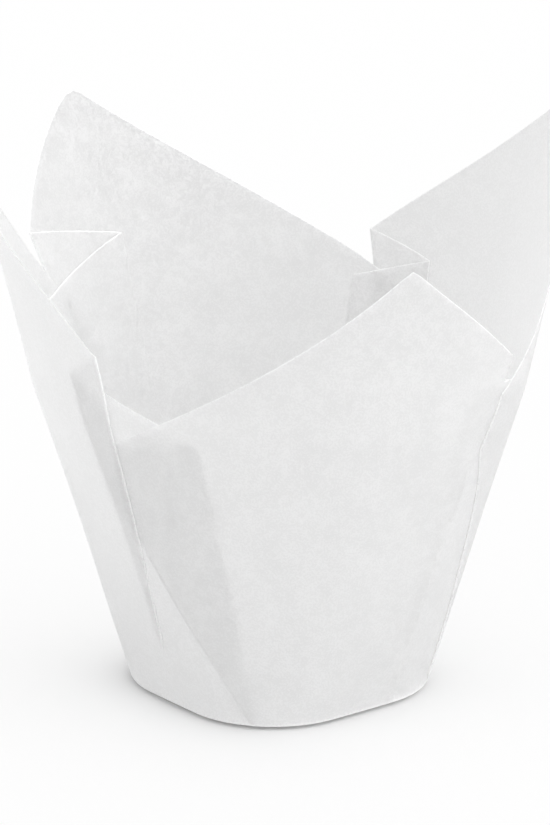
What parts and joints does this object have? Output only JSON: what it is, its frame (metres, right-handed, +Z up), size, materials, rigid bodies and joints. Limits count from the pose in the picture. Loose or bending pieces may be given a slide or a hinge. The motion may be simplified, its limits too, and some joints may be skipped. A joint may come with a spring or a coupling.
{
  "type": "cupcake liner",
  "caption": "Tulip-shaped muffin and cupcake liner folded from a square of thin white baking paper, with a flat base, leaning walls, tall petals and inverted box pleats.",
  "frame": {"origin": "middle of the flat base, on its underside", "axes": "+Z up, out of the cup's mouth; the front petal faces -Y, the right-hand one +X; the base's straight sides lie square to X and Y"},
  "size_m": [0.0972, 0.0961, 0.0965],
  "materials": {
    "baking_paper": "matt white greaseproof paper, slightly see-through"
  },
  "bodies": {
    "root": {"folded_sheet": "baking_paper"}
  },
  "joints": []
}
